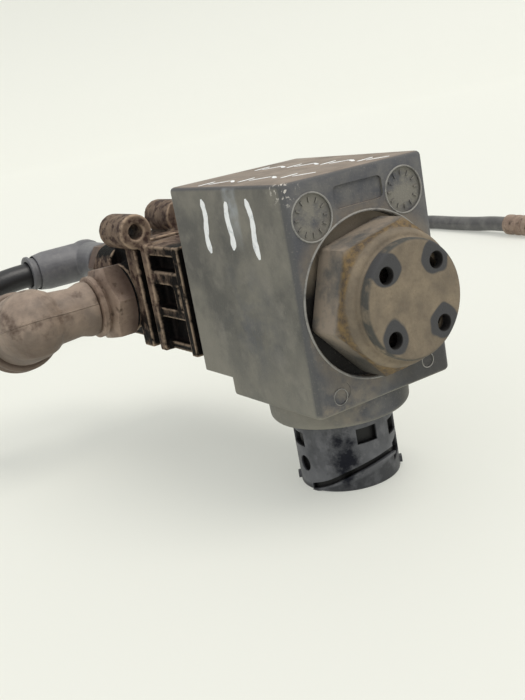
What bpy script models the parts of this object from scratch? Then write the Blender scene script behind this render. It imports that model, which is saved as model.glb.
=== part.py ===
"""A 3/2 solenoid directional valve for compressed air, with its fittings and a hose.

The coil's axis lies along Y: the exhaust cap is at the front (-Y) and the valve body at the rear.
The origin is on that axis, in the body's flat rear face. +Z is up and the connector hangs down.
Every size below is in millimetres, and the meshes are built in metres.
"""
import math

import bmesh
import bpy
from mathutils import Matrix, Vector

MM = 0.001
GAP = 0.3  # clearance between pieces that touch

# Driving dimensions
HALF_WIDTH = 20.5
FRONT = -106.0  # front face of the coil housing
HOUSING_BACK = -55.0
HOUSING_TOP = 29.5
HOUSING_BOTTOM = -24.5
STEP_UP = 5.0  # the underside is this much higher behind STEP_AT
STEP_AT = -69.5
RECESS_RADIUS = 19.1
RECESS_FLOOR = FRONT + 3.0
FRONT_HOLE_RADIUS = 8.6
POCKET_FRONT = FRONT + 5.4
POCKET_HALF = 17.4
POCKET_TOP = 21.0

CONNECTOR_Y = -85.5
COLLAR_RADIUS = 18.0
COLLAR_BOTTOM = -31.0
RING_RADIUS = 12.9
RING_BORE = 10.9
RING_BOTTOM = -49.4
THROAT_RADIUS = 9.0

NUT_RADIUS = 18.0  # across the corners, 31 mm across the flats
NUT_TURN = math.radians(12)
NUT_FRONT = -115.0
CAP_RADIUS = 13.5
CAP_FACE = -120.5
VENT_CIRCLE = 10.2
VENT_RADIUS = 1.9

BODY_FRONT = -51.4
BODY_HALF = 16.0
BODY_LOW = -15.5
BODY_HIGH = 12.0
RIB_HALF = 20.2
RIB_LOW = -17.5
RIB_HIGH = 13.8
BOSS_RADIUS = 5.0
BOSS_HOLE = 2.25
BOSS_X = 20.9
BOSS_Z = 17.6
BOSS_FRONT = -31.0
BOSS_BACK = -16.0

TUBE_RADIUS = 7.5
TUBE_BORE = 6.6
ARMATURE_REAR = -46.6
ARMATURE_FRONT = -78.2
STROKE = 1.2

SIDE_PORT = Vector((-HALF_WIDTH, -11.0, -3.5))
SIDE_ELBOW_X = -50.0
LEG_TILT = math.radians(-15)  # the side elbow's leg points backwards and a little down
REAR_PORT = Vector((-14.0, 6.0, 5.0))  # in the end of a round boss on the rear face
REAR_PORT_DEPTH = 7.6
REAR_LEG = 18.6  # from the elbow's middle to the end of the leg that holds the hose
REAR_NECK = 22.0  # from the port's face to the leg's axis

HOSE_RADIUS = 4.0
HOSE_REST = RING_BOTTOM + HOSE_RADIUS  # height of the hose's centre where it lies
# The hose leaves the rear elbow, turns back behind the valve and ends to its right.
HOSE_ROUTE = [
    (-17.8, 28, 5), (-33, 28, 5), (-45, 28.2, 4.2), (-58, 30, 0.5), (-71, 34, -6), (-84, 41, -14.5),
    (-96, 52, -24), (-104, 66, -33), (-107.5, 83, -40.3), (-106, 101, -44.4), (-98, 119, HOSE_REST),
    (-81, 134, HOSE_REST),
    (-60, 146, HOSE_REST), (-35, 156, HOSE_REST), (-6, 166, HOSE_REST), (26, 175, HOSE_REST),
    (62, 183, HOSE_REST), (100, 191, HOSE_REST), (138, 198, HOSE_REST), (174, 204, HOSE_REST),
    (206, 205, HOSE_REST), (232, 198, HOSE_REST), (249, 181, HOSE_REST), (256.5, 158, HOSE_REST),
    (255.4, 136, HOSE_REST), (253.2, 116, -44.9), (251.6, 102, -44.1), (250.2, 90, -44), (249, 79, -44),
]
HOSE_SAMPLES = 42
FERRULE_RADIUS = 5.4
FERRULE_LENGTH = 14.0
TAIL_LENGTH = 12.0

AXIS_TURN = {
    "+X": Matrix.Rotation(math.radians(90), 4, "Y"),
    "-X": Matrix.Rotation(math.radians(-90), 4, "Y"),
    "+Y": Matrix.Rotation(math.radians(-90), 4, "X"),
    "-Y": Matrix.Rotation(math.radians(90), 4, "X"),
    "+Z": Matrix.Identity(4),
}

for old in list(bpy.data.objects):
    bpy.data.objects.remove(old, do_unlink=True)

parts = bpy.data.collections.new("solenoid_directional_valve")
cutters = bpy.data.collections.new("cutters")
for group in (parts, cutters):
    bpy.context.scene.collection.children.link(group)


def finish(name, colour, roughness, metallic=0.0):
    """A plain material: linear colour, roughness and metallic value."""
    material = bpy.data.materials.new(name)
    material.use_nodes = True
    shader = material.node_tree.nodes["Principled BSDF"]
    shader.inputs["Base Color"].default_value = (*colour, 1)
    shader.inputs["Roughness"].default_value = roughness
    shader.inputs["Metallic"].default_value = metallic
    return material


HOUSING_PLASTIC = finish("housing_plastic", (0.10, 0.10, 0.09), 0.75)
CAP_PLASTIC = finish("dusty_cap_plastic", (0.26, 0.21, 0.15), 0.85)
CONNECTOR_PLASTIC = finish("connector_plastic", (0.06, 0.06, 0.065), 0.5)
CAST_ALUMINIUM = finish("cast_aluminium", (0.30, 0.25, 0.20), 0.6, 0.6)
STEEL = finish("steel", (0.55, 0.55, 0.55), 0.35, 1.0)
BRASS = finish("dusty_brass", (0.42, 0.34, 0.24), 0.6, 0.7)
COPPER = finish("copper_winding", (0.60, 0.25, 0.12), 0.35, 1.0)
NYLON = finish("dusty_nylon", (0.38, 0.32, 0.25), 0.7)
BLACK_NYLON = finish("black_nylon", (0.11, 0.11, 0.12), 0.45)
HOSE_PLASTIC = finish("hose_plastic", (0.04, 0.04, 0.042), 0.35)
RUBBER = finish("seal_rubber", (0.02, 0.02, 0.02), 0.8)
SILICONE = finish("silicone_seal", (0.45, 0.10, 0.04), 0.6)


def placed(name, mesh, material, matrix=None, helper=False):
    """An object for this mesh, as a part or as a hidden cutter."""
    obj = bpy.data.objects.new(name, mesh)
    (cutters if helper else parts).objects.link(obj)
    obj.matrix_world = matrix or Matrix.Identity(4)
    if helper:
        obj.hide_render = True
        obj.display_type = "WIRE"
    else:
        mesh.materials.append(material)
    return obj


def at(point, turn=None):
    """The place of an object: a point in millimetres, and the turn of its own axes."""
    return Matrix.Translation(Vector(point) * MM) @ (turn or Matrix.Identity(4))


def block(name, low, high, material=None, helper=False, bevel=0.0):
    """A box between two corners, with rounded edges if bevel is set."""
    bm = bmesh.new()
    bmesh.ops.create_cube(bm, size=1)
    size = Vector(high) - Vector(low)
    middle = (Vector(high) + Vector(low)) / 2
    bmesh.ops.scale(bm, vec=size * MM, verts=bm.verts)
    mesh = bpy.data.meshes.new(name)
    bm.to_mesh(mesh)
    bm.free()
    obj = placed(name, mesh, material, at(middle), helper)
    if bevel:
        rounding = obj.modifiers.new("Bevel", "BEVEL")
        rounding.width = bevel * MM
        rounding.segments = 2
        rounding.limit_method = "ANGLE"
    return obj


def turned(name, outline, material=None, matrix=None, helper=False, steps=28, ring=False):
    """A turned piece: outline is (radius, along) from the high end down the outside.

    A solid piece's outline starts and ends on the axis. A ring's outline is a closed loop.
    """
    mesh = bpy.data.meshes.new(name)
    count = len(outline)
    edges = [(i, i + 1) for i in range(count - 1)] + ([(count - 1, 0)] if ring else [])
    mesh.from_pydata([(r * MM, 0, z * MM) for r, z in outline], edges, [])
    obj = placed(name, mesh, material, matrix, helper)
    screw = obj.modifiers.new("Screw", "SCREW")
    screw.axis = "Z"
    screw.steps = steps
    screw.render_steps = steps
    screw.use_merge_vertices = True
    screw.merge_threshold = 0.00001
    screw.use_smooth_shade = False
    return obj


def rod(name, radius, low, high, material=None, matrix=None, helper=False, steps=20):
    outline = [(0, high), (radius, high), (radius, low), (0, low)]
    return turned(name, outline, material, matrix, helper, steps)


def tube(name, outer, inner, low, high, material=None, matrix=None, steps=28):
    outline = [(outer, high), (outer, low), (inner, low), (inner, high)]
    return turned(name, outline, material, matrix, steps=steps, ring=True)


def prism(name, radius, low, high, turn=0.0, matrix=None, helper=True):
    """A hexagonal prism along the local Z axis, as a cutter or a shape to join."""
    bm = bmesh.new()
    bmesh.ops.create_cone(
        bm, cap_ends=True, segments=6, radius1=radius * MM, radius2=radius * MM, depth=(high - low) * MM
    )
    lift = Matrix.Translation((0, 0, (low + high) / 2 * MM)) @ Matrix.Rotation(turn, 4, "Z")
    bmesh.ops.transform(bm, matrix=lift, verts=bm.verts)
    mesh = bpy.data.meshes.new(name)
    bm.to_mesh(mesh)
    bm.free()
    return placed(name, mesh, None, matrix, helper)


def ball(name, radius, centre, segments=20):
    bm = bmesh.new()
    bmesh.ops.create_uvsphere(bm, u_segments=segments, v_segments=segments // 2, radius=radius * MM)
    mesh = bpy.data.meshes.new(name)
    bm.to_mesh(mesh)
    bm.free()
    return placed(name, mesh, None, at(centre), True)


def combine(obj, others, operation):
    for other in others:
        modifier = obj.modifiers.new(other.name, "BOOLEAN")
        modifier.operation = operation
        modifier.solver = "EXACT"
        modifier.object = other
    return obj


def join(obj, *others):
    return combine(obj, others, "UNION")


def cut(obj, *others):
    return combine(obj, others, "DIFFERENCE")


ALONG_COIL = at((0, 0, 0), AXIS_TURN["+Y"])  # local z is the world y of the coil's axis
DOWN_CONNECTOR = at((0, CONNECTOR_Y, 0))  # local z is the world z


def coil_housing():
    """The moulded shell: a box open to the rear, with the nut's recess and the connector's collar."""
    housing = block(
        "coil_housing",
        (-HALF_WIDTH, FRONT, HOUSING_BOTTOM),
        (HALF_WIDTH, HOUSING_BACK, HOUSING_TOP),
        HOUSING_PLASTIC,
        bevel=1.4,
    )
    collar = turned(
        "collar",
        [
            (0, HOUSING_BOTTOM + 3), (COLLAR_RADIUS, HOUSING_BOTTOM + 3), (COLLAR_RADIUS, COLLAR_BOTTOM + 1),
            (COLLAR_RADIUS - 1, COLLAR_BOTTOM), (0, COLLAR_BOTTOM),
        ],
        None, DOWN_CONNECTOR, True, 36,
    )
    step = block(
        "step_cutter",
        (-HALF_WIDTH - 1, STEP_AT, HOUSING_BOTTOM - 9),
        (HALF_WIDTH + 1, HOUSING_BACK + 1, HOUSING_BOTTOM + STEP_UP),
        helper=True,
    )
    pocket = block(
        "pocket_cutter",
        (-POCKET_HALF, POCKET_FRONT, -POCKET_HALF),
        (POCKET_HALF, HOUSING_BACK + 1, POCKET_TOP),
        helper=True,
    )
    recess = rod("recess_cutter", RECESS_RADIUS, FRONT - 1, RECESS_FLOOR, None, ALONG_COIL, True, 40)
    hole = rod("front_hole_cutter", FRONT_HOLE_RADIUS, FRONT - 1, POCKET_FRONT + 1, None, ALONG_COIL, True)
    throat = rod("throat_cutter", THROAT_RADIUS, COLLAR_BOTTOM - 1, -POCKET_HALF + 1, None, DOWN_CONNECTOR, True)
    cut(housing, step)
    join(housing, collar)
    return cut(housing, pocket, recess, hole, throat)


def connector():
    """The bayonet ring under the collar, with its contact carrier, two pins and face seal."""
    ring_top = COLLAR_BOTTOM - GAP
    tube("bayonet_ring", RING_RADIUS, RING_BORE, RING_BOTTOM, ring_top, CONNECTOR_PLASTIC, DOWN_CONNECTOR, 32)
    carrier_top = -POCKET_HALF - 1.0
    flange_top = COLLAR_BOTTOM - GAP
    flange_bottom = flange_top - 5.0
    carrier = turned(
        "contact_carrier",
        [
            (0, carrier_top), (THROAT_RADIUS - GAP, carrier_top), (THROAT_RADIUS - GAP, flange_top),
            (RING_BORE - GAP, flange_top), (RING_BORE - GAP, flange_bottom), (0, flange_bottom),
        ],
        CONNECTOR_PLASTIC, DOWN_CONNECTOR,
    )
    for side, name in ((-1, "left"), (1, "right")):
        place = at((side * 3.6, CONNECTOR_Y, 0))
        hole = rod(f"pin_hole_{name}", 1.6, flange_bottom - 1, carrier_top + 1, None, place, True, 16)
        cut(carrier, hole)
        pin_tip = flange_bottom - 9.5
        turned(
            f"contact_pin_{name}",
            [(0, carrier_top), (1.3, carrier_top), (1.3, pin_tip + 1), (0.6, pin_tip), (0, pin_tip)],
            BRASS, place, steps=16,
        )
    seal_top = flange_bottom - GAP
    tube("connector_seal", RING_BORE - GAP, 8.2, seal_top - 1.6, seal_top, SILICONE, DOWN_CONNECTOR)


def coil():
    """The bobbin, its copper winding and the steel yoke that closes the magnetic path."""
    front, rear = POCKET_FRONT + 3.4, HOUSING_BACK - 6.0
    bore, hub, rim, cheek = TUBE_RADIUS + 0.4, 8.9, 15.4, 1.2
    turned(
        "bobbin",
        [
            (rim, rear), (rim, rear - cheek), (hub, rear - cheek), (hub, front + cheek),
            (rim, front + cheek), (rim, front), (bore, front), (bore, rear),
        ],
        CONNECTOR_PLASTIC, ALONG_COIL, ring=True,
    )
    tube("winding", rim - 0.7, hub + GAP, front + cheek + GAP, rear - cheek - GAP, COPPER, ALONG_COIL, 28)
    yoke_front, yoke_rear, plate, half = POCKET_FRONT + 0.4, HOUSING_BACK - 2.9, 2.6, 11.0
    strap_low = rim + 1.4
    yoke = block(
        "yoke_frame", (-half, yoke_front, -half), (half, yoke_rear, strap_low + 2.6), STEEL
    )
    window = block(
        "yoke_window",
        (-half - 1, yoke_front + plate, -half - 1),
        (half + 1, yoke_rear - plate, strap_low),
        helper=True,
    )
    hole = rod("yoke_hole", bore, yoke_front - 1, yoke_rear + 1, None, ALONG_COIL, True)
    cut(yoke, window, hole)


def magnet():
    """The guide tube with its fixed core in front and the armature, springs and seals behind."""
    flange_rear, flange_front = -49.6, -51.1
    turned(
        "guide_tube",
        [
            (10.2, flange_rear), (10.2, flange_front), (TUBE_RADIUS, flange_front), (TUBE_RADIUS, -101.2),
            (TUBE_BORE, -101.2), (TUBE_BORE, flange_rear),
        ],
        STEEL, ALONG_COIL, ring=True,
    )
    core_rear = ARMATURE_FRONT - STROKE - 0.8
    turned(
        "fixed_core",
        [
            (TUBE_BORE - GAP, core_rear), (TUBE_BORE - GAP, -100.9), (6.0, -101.5), (6.0, -111.6),
            (5.4, -112.2), (1.5, -112.2), (1.5, core_rear),
        ],
        STEEL, ALONG_COIL, ring=True,
    )
    pocket = 2.4
    turned(
        "armature",
        [
            (0, ARMATURE_REAR - pocket), (3.3, ARMATURE_REAR - pocket), (3.3, ARMATURE_REAR),
            (TUBE_BORE - GAP, ARMATURE_REAR), (TUBE_BORE - GAP, -70.0), (4.5, -70.0),
            (4.5, ARMATURE_FRONT), (3.3, ARMATURE_FRONT), (3.3, ARMATURE_FRONT + pocket),
            (0, ARMATURE_FRONT + pocket),
        ],
        STEEL, ALONG_COIL,
    )
    rod("inlet_seal", 3.0, ARMATURE_REAR - pocket + GAP, ARMATURE_REAR + 0.4, RUBBER, ALONG_COIL)
    rod("exhaust_seal", 3.0, ARMATURE_FRONT - 0.4, ARMATURE_FRONT + pocket - GAP, RUBBER, ALONG_COIL)
    armature_spring(core_rear + 0.4, -70.4)
    tube("guide_tube_o_ring", 10.0, 8.4, flange_rear + GAP, flange_rear + 1.9, RUBBER, ALONG_COIL)


def armature_spring(front, rear):
    """A helical compression spring round the armature's nose."""
    wire, mean, turns, per_turn = 0.42, 5.45, 5, 12
    points = []
    for i in range(turns * per_turn + 1):
        share = i / (turns * per_turn)
        angle = 2 * math.pi * turns * share
        along = front + wire + (rear - front - 2 * wire) * share
        points.append(Vector((mean * math.cos(angle), along, mean * math.sin(angle))))
    wire_curve("armature_spring", points, wire, STEEL, 1)


def wire_curve(name, points, radius, material, resolution):
    """A round wire or hose through these points, with filled ends."""
    curve = bpy.data.curves.new(name, "CURVE")
    curve.dimensions = "3D"
    curve.bevel_depth = radius * MM
    curve.bevel_resolution = resolution
    curve.use_fill_caps = True
    spline = curve.splines.new("POLY")
    spline.points.add(len(points) - 1)
    for place, point in zip(spline.points, points, strict=True):
        place.co = (*(point * MM), 1)
    curve.materials.append(material)
    obj = bpy.data.objects.new(name, curve)
    parts.objects.link(obj)
    return obj


def exhaust_nut():
    """The plastic hexagon nut with its round vented cap, its washer and the silencer disc inside."""
    base = RECESS_FLOOR - 1.6
    nut = turned(
        "exhaust_nut_cap",
        [
            (0, NUT_FRONT + 2), (CAP_RADIUS, NUT_FRONT + 2), (CAP_RADIUS, CAP_FACE + 1.0),
            (CAP_RADIUS - 1.0, CAP_FACE), (0, CAP_FACE),
        ],
        CAP_PLASTIC, ALONG_COIL, steps=36,
    )
    hexagon = prism("nut_hexagon", NUT_RADIUS, NUT_FRONT, base, -NUT_TURN, ALONG_COIL)
    bore = rod("nut_bore", 6.3, CAP_FACE + 4, base + 1, None, ALONG_COIL, True)
    chamber = rod("nut_chamber", 11.3, CAP_FACE + 1.8, NUT_FRONT + 2, None, ALONG_COIL, True)
    join(nut, hexagon)
    cut(nut, bore, chamber)
    for i in range(4):
        angle = math.radians(45 + 90 * i)
        centre = (VENT_CIRCLE * math.cos(angle), 0, VENT_CIRCLE * math.sin(angle))
        place = at(centre, AXIS_TURN["+Y"])
        cut(nut, rod(f"vent_{i}", VENT_RADIUS, CAP_FACE - 1, CAP_FACE + 3, None, place, True, 14))
    rod("silencer_disc", 10.9, CAP_FACE + 3.9, CAP_FACE + 6.0, BRASS, ALONG_COIL)
    tube("nut_washer", 15.0, FRONT_HOLE_RADIUS, base + GAP, RECESS_FLOOR - GAP, RUBBER, ALONG_COIL)


def valve_body():
    """The die-cast body: a core block between ribs and plates, with bosses and drilled passages."""
    body = block(
        "valve_body", (-BODY_HALF, BODY_FRONT + 0.6, BODY_LOW), (BODY_HALF, -0.6, BODY_HIGH), CAST_ALUMINIUM
    )
    wide, low, high = RIB_HALF, RIB_LOW, RIB_HIGH
    shapes = {
        "front_flange": ((-wide, BODY_FRONT, low + 0.5), (wide, BODY_FRONT + 3, high - 0.2)),
        "middle_plate": ((-wide - 0.2, -33, low), (wide + 0.2, -29.6, high)),
        "rear_plate": ((-wide - 0.1, -25, low + 0.2), (wide + 0.1, -19, high + 0.2)),
        "top_wall": ((-wide + 0.4, -50.3, 10.6), (wide - 0.4, -31.3, high - 0.4)),
        "level_rib": ((-wide + 0.6, -50.1, 2.4), (wide - 0.6, -31.1, 6.2)),
        "low_rib": ((-wide + 0.8, -49.9, -7.2), (wide - 0.8, -30.9, -4.6)),
        "upright_rib": ((-wide + 1.0, -46, -6), (wide - 1.0, -43, 4)),
        "foot": ((-wide + 2, -49.7, low + 0.3), (wide - 2, -30.7, low + 2.6)),
        "rear_block": ((-wide + 3.5, -20, low + 1), (wide - 3.5, 0, high - 0.6)),
    }
    join(body, *(block(name, *corners, helper=True) for name, corners in shapes.items()))
    port_turn = AXIS_TURN["-X"]
    side_place = at((0, SIDE_PORT.y, SIDE_PORT.z), port_turn)
    join(body, rod("side_port_boss", 10.6, 0, -SIDE_PORT.x, None, side_place, True))
    for side in (-1, 1):
        place = at((side * BOSS_X, 0, BOSS_Z), AXIS_TURN["+Y"])
        join(body, rod(f"boss_{side}", BOSS_RADIUS, BOSS_FRONT, BOSS_BACK, None, place, True))
        cut(body, rod(f"boss_hole_{side}", BOSS_HOLE, BOSS_FRONT - 1, BOSS_BACK + 1, None, place, True, 14))
    top = at((-1, 0, 17.7), AXIS_TURN["+Y"])
    join(body, rod("top_boss", BOSS_RADIUS, -21.5, -6, None, top, True))
    rear_place = at(REAR_PORT, AXIS_TURN["+Y"])
    join(body, rod("rear_port_boss", 6.6, -11.2, 0, None, rear_place, True, 32))
    cut(body, rod("top_boss_hole", 1.7, -22.5, -12, None, top, True, 20))
    main_bore = turned(
        "main_bore",
        [
            (0, -7), (3.2, -7), (3.2, -33), (5.0, -33), (5.0, -41), (9.8, -41), (9.8, -47.4),
            (10.6, -47.4), (10.6, BODY_FRONT - 1), (0, BODY_FRONT - 1),
        ],
        None, ALONG_COIL, True,
    )
    side_bore = turned(
        "side_bore",
        [
            (0, 22), (10.0, 22), (10.0, -SIDE_PORT.x - 1.5), (8.2, -SIDE_PORT.x - 1.5),
            (8.2, 12.5), (3.6, 12.5), (3.6, -1), (0, -1),
        ],
        None, side_place, True, 26,
    )
    rear_bore = turned(
        "rear_bore",
        [(0, 1), (5.2, 1), (5.2, -REAR_PORT_DEPTH), (0, -REAR_PORT_DEPTH)],
        None, rear_place, True, 24,
    )
    drilled = Vector((REAR_PORT.x + 2.4, -39.5, REAR_PORT.z + 2.3))
    passage = rod("outlet_passage", 1.5, -0.6, -drilled.y, None, at(drilled, AXIS_TURN["+Y"]), True, 16)
    inwards = Vector((4.6, -3.5, -2.8))  # a slanted drilling from the passage into the chamber
    link_turn = inwards.to_track_quat("Z", "Y").to_matrix().to_4x4()
    link = rod("chamber_link", 1.2, 0, inwards.length, None, at(drilled, link_turn), True, 14)
    cut(body, main_bore, side_bore, rear_bore, passage, link)
    return body


def body_fasteners():
    """The steel plate that clamps the guide tube to the body, and its four countersunk screws."""
    plate_front, plate_rear = HOUSING_BACK + GAP, BODY_FRONT - GAP
    plate = block("retaining_plate", (-18.5, plate_front, -16.5), (18.5, plate_rear, 13.3), STEEL)
    cut(plate, rod("plate_hole", TUBE_RADIUS + GAP, plate_front - 1, plate_rear + 1, None, ALONG_COIL, True))
    body = bpy.data.objects["valve_body"]
    corners = {
        "upper_left": (-12.6, 9.0),
        "upper_right": (12.6, 9.0),
        "lower_left": (-12.6, -12.0),
        "lower_right": (12.6, -12.0),
    }
    for name, (x, z) in corners.items():
        place = at((x, 0, z), AXIS_TURN["+Y"])
        head = plate_front + 0.1
        turned(
            f"plate_screw_{name}",
            [(0, -42.4), (1.7, -42.4), (1.7, head + 1.9), (3.2, head), (0, head)],
            STEEL, place, steps=20,
        )
        cut(plate, turned(
            f"countersink_{name}",
            [
                (0, plate_rear + 1), (2.1, plate_rear + 1), (2.1, head + 2.1),
                (3.6, head), (3.6, head - 1), (0, head - 1),
            ],
            None, place, True, 20,
        ))
        cut(body, rod(f"screw_hole_{name}", 2.1, BODY_FRONT - 1, -42, None, place, True, 14))


def nozzle():
    """The brass inlet seat that the armature's seal closes."""
    turned(
        "inlet_nozzle",
        [
            (2.2, ARMATURE_REAR + 0.7), (3.4, ARMATURE_REAR + 2.2), (3.4, -41.7), (4.7, -41.7),
            (4.7, -33.3), (1.5, -33.3), (1.5, ARMATURE_REAR + 0.7),
        ][::-1],
        BRASS, ALONG_COIL, ring=True, steps=32,
    )


def side_elbow():
    """The large push-in elbow on the side port: brass stud, swivelling body, end cap and collet."""
    y, z = SIDE_PORT.y, SIDE_PORT.z
    place = at((0, y, z), AXIS_TURN["-X"])  # local z runs outwards from the coil's middle plane
    face = -SIDE_PORT.x
    stud = turned(
        "side_elbow_stud",
        [
            (5.4, face + 20), (5.4, face + 10.8), (9.2, face + 10.8), (9.2, face + 8.9), (8.0, face + 8.7),
            (8.0, face + 7.5), (7.9, face - 5.8), (3.4, face - 5.8), (3.4, face + 20),
        ],
        BRASS, place, ring=True,
    )
    hexagon = prism("side_hexagon", 12.1, face + GAP, face + 7.6, math.radians(8), place)
    core = rod("side_hexagon_core", 5.0, face - 1, face + 9, None, place, True)
    cut(hexagon, core)
    join(stud, hexagon)
    tube("side_stud_seal", 9.7, 8.2, face - 1.2, face - 0.1, RUBBER, place)
    rod("inlet_strainer", 7.6, 12.8, 14.3, STEEL, place)

    turn = Matrix.Rotation(LEG_TILT, 4, "X") @ AXIS_TURN["+Y"]
    leg = at((SIDE_ELBOW_X, y, z), turn)  # local z runs down the leg
    neck_start, neck_end = face + 11.1, -SIDE_ELBOW_X
    body = turned(
        "side_elbow_body",
        [
            (0, neck_end), (8.4, neck_end), (7.4, neck_start + 5), (8.3, neck_start + 2),
            (8.3, neck_start), (0, neck_start),
        ],
        NYLON, place,
    )
    head = ball("side_elbow_head", 10.4, (SIDE_ELBOW_X, y, z))
    barrel = turned(
        "side_elbow_barrel",
        [(0, 20), (9.0, 20), (9.0, 12), (10.6, 12), (10.4, 0), (0, 0)], None, leg, True,
    )
    join(body, head, barrel)
    cut(
        body,
        rod("side_neck_bore", 5.8, neck_start - 1, neck_start + 10, None, place, True),
        rod("side_neck_passage", 3.4, neck_start + 9, neck_end, None, place, True, 20),
        rod("side_leg_passage", 3.9, -4, 4, None, leg, True, 24),
        rod("side_leg_stop", 6.3, 3, 9, None, leg, True),
        rod("side_leg_bore", 8.2, 8, 21, None, leg, True),
    )
    tube("side_elbow_o_ring", 7.9, 6.3, 8.3, 9.7, RUBBER, leg)
    tube("side_grab_ring", 7.9, 6.5, 10.0, 10.5, STEEL, leg)
    turned(
        "side_end_cap",
        [(11.4, 21.2), (12.1, 20.2), (12.1, 12.4), (9.3, 12.4), (9.3, 20.3), (7.6, 20.3), (7.6, 21.2)],
        NYLON, leg, ring=True, steps=32,
    )
    turned(
        "side_collet",
        [(8.6, 23.9), (8.6, 22.7), (7.2, 22.7), (7.2, 12.1), (6.1, 12.1), (6.1, 23.9)],
        BLACK_NYLON, leg, ring=True,
    )


def rear_elbow():
    """The small black elbow on the rear port, which holds the hose."""
    place = at(REAR_PORT, AXIS_TURN["+Y"])  # local z runs rearwards from the port's face
    stud = turned(
        "rear_elbow_stud",
        [(3.2, 15), (3.2, 6.0), (5.8, 6.0), (5.8, 5.0), (4.9, 4.8), (4.9, -7.0), (1.8, -7.0), (1.8, 15)],
        BRASS, place, ring=True, steps=32,
    )
    hexagon = prism("rear_hexagon", 6.9, GAP, 6.0, 0.0, place)
    cut(hexagon, rod("rear_hexagon_core", 3.0, -1, 9, None, place, True, 24))
    join(stud, hexagon)
    head_place = REAR_PORT + Vector((0, REAR_NECK, 0))
    leg = at(head_place, AXIS_TURN["-X"])
    body = turned(
        "rear_elbow_body",
        [(0, REAR_NECK + 1.3), (6.1, REAR_NECK + 1.3), (6.1, 6.4), (0, 6.4)], BLACK_NYLON, place, steps=28,
    )
    barrel = turned(
        "rear_elbow_barrel",
        [(0, REAR_LEG), (5.7, REAR_LEG), (6.3, REAR_LEG - 3.7), (6.4, -1.7), (0, -1.7)], None, leg, True, 32,
    )
    join(body, ball("rear_elbow_head", 6.9, head_place), barrel)
    stop, seat = REAR_LEG - 15.2, REAR_LEG - 8.6
    cut(
        body,
        rod("rear_neck_bore", 3.5, 5, 16, None, place, True, 24),
        rod("rear_neck_passage", 1.9, 15, REAR_NECK, None, place, True, 16),
        rod("rear_leg_passage", 2.3, -2.5, stop + 1, None, leg, True, 20),
        turned(
            "rear_leg_bore",
            [
                (0, REAR_LEG + 1), (5.5, REAR_LEG + 1), (5.5, seat), (HOSE_RADIUS + GAP, seat),
                (HOSE_RADIUS + GAP, stop), (0, stop),
            ],
            None, leg, True, 24,
        ),
    )
    tube("rear_grab_ring", 5.2, 4.4, seat + GAP, seat + 0.8, STEEL, leg, 24)
    inner, lip, rim = seat + 2.3, REAR_LEG + 1.4, REAR_LEG + 2.4
    turned(
        "rear_collet",
        [(5.9, rim), (5.9, lip), (5.1, lip), (5.1, inner), (4.3, inner), (4.3, rim)],
        BLACK_NYLON, leg, ring=True, steps=24,
    )


def curve_through(points, samples):
    """Evenly spaced points on a smooth curve through the given ones."""
    fine = []
    ends = [points[0] * 2 - points[1], *points, points[-1] * 2 - points[-2]]
    for a, b, c, d in zip(ends, ends[1:], ends[2:], ends[3:]):
        for i in range(20):
            t = i / 20
            fine.append(
                0.5 * (2 * b + (c - a) * t + (2 * a - 5 * b + 4 * c - d) * t**2 + (3 * b - a - 3 * c + d) * t**3)
            )
    fine.append(points[-1])
    lengths = [0.0]
    for a, b in zip(fine, fine[1:]):
        lengths.append(lengths[-1] + (b - a).length)
    even, i = [], 0
    for k in range(samples):
        want = lengths[-1] * k / (samples - 1)
        while i < len(fine) - 2 and lengths[i + 1] < want:
            i += 1
        share = (want - lengths[i]) / (lengths[i + 1] - lengths[i])
        even.append(fine[i].lerp(fine[i + 1], share))
    return even


def hose():
    """The nylon hose from the rear elbow to its brass end fitting on the ground."""
    route = curve_through([Vector(p) for p in HOSE_ROUTE], HOSE_SAMPLES)
    wire_curve("hose", route, HOSE_RADIUS, HOSE_PLASTIC, 2)
    ahead = route[-1] - route[-2]
    ahead.z = 0
    end = at(route[-1], ahead.to_track_quat("Z", "Y").to_matrix().to_4x4())
    lip, bore = 9.0, HOSE_RADIUS + GAP
    turned(
        "hose_end_ferrule",
        [
            (FERRULE_RADIUS, FERRULE_LENGTH - lip), (FERRULE_RADIUS, -lip), (bore, -lip),
            (bore, GAP), (2.0, GAP), (2.0, FERRULE_LENGTH - lip),
        ],
        BRASS, end, ring=True, steps=24,
    )
    start = FERRULE_LENGTH - lip + GAP
    turned(
        "hose_end_stud",
        [
            (3.6, start + TAIL_LENGTH), (4.4, start + TAIL_LENGTH - 0.8), (4.4, start + 5),
            (FERRULE_RADIUS, start + 5), (FERRULE_RADIUS, start), (2.0, start),
            (2.0, start + TAIL_LENGTH),
        ],
        BRASS, end, ring=True, steps=24,
    )


coil_housing()
connector()
coil()
magnet()
exhaust_nut()
valve_body()
body_fasteners()
nozzle()
side_elbow()
rear_elbow()
hose()
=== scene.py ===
"""How a used solenoid directional valve looks: a moulded coil box with a bayonet connector under it,
a vented hexagon cap, a die-cast body with two elbow fittings, and a nylon hose with a brass end.

Places are in metres in the CAD model's frame. The coil's axis lies along Y with the cap in front (-Y),
+Z is up, and the origin is on that axis, in the body's rear face.
"""
import math

import bmesh
import bpy
from mathutils import Matrix, Vector, noise


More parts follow.
